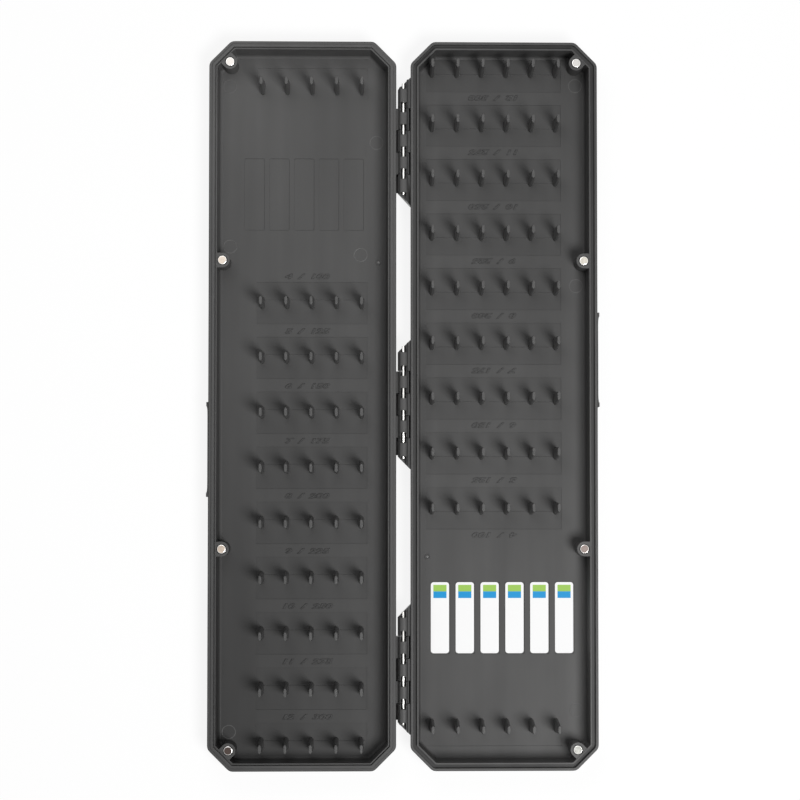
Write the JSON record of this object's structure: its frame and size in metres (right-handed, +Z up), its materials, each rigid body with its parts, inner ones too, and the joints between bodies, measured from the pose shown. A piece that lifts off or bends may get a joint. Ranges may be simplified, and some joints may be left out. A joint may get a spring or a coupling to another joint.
{
  "type": "fishing rig box",
  "caption": "Flat two-part hinged box with rows of fins that hold tied fishing rigs stretched, shut by disc magnets.",
  "frame": {"origin": "on the table the open box lies on, under the middle of the hinge axis", "axes": "+Y along the hinge axis, +X from the hinge to the half with six columns of fins, +Z up"},
  "size_m": [0.177, 0.3282, 0.021],
  "materials": {
    "tray": "dark grey moulded plastic with a fine matt grain",
    "pin": "drawn steel wire",
    "magnet": "bright nickel plate",
    "label": "white write-on paper with a plain coloured band"
  },
  "bodies": {
    "right_half": {"right_tray": "tray", "right_magnet_top": "magnet", "right_magnet_upper": "magnet", "right_magnet_lower": "magnet", "right_magnet_bottom": "magnet", "hinge_pin_bottom": "pin", "hinge_pin_middle": "pin", "hinge_pin_top": "pin", "label_1": "label", "label_2": "label", "label_3": "label", "label_4": "label", "label_5": "label", "label_6": "label"},
    "left_half": {"left_tray": "tray", "left_magnet_top": "magnet", "left_magnet_upper": "magnet", "left_magnet_lower": "magnet", "left_magnet_bottom": "magnet"}
  },
  "joints": [
    {"name": "fold", "type": "hinge", "parent": "right_half", "child": "left_half", "pos_m": [0, 0, 0.0155], "axis": [0, 1, 0], "range_deg": [0, 180]}
  ]
}
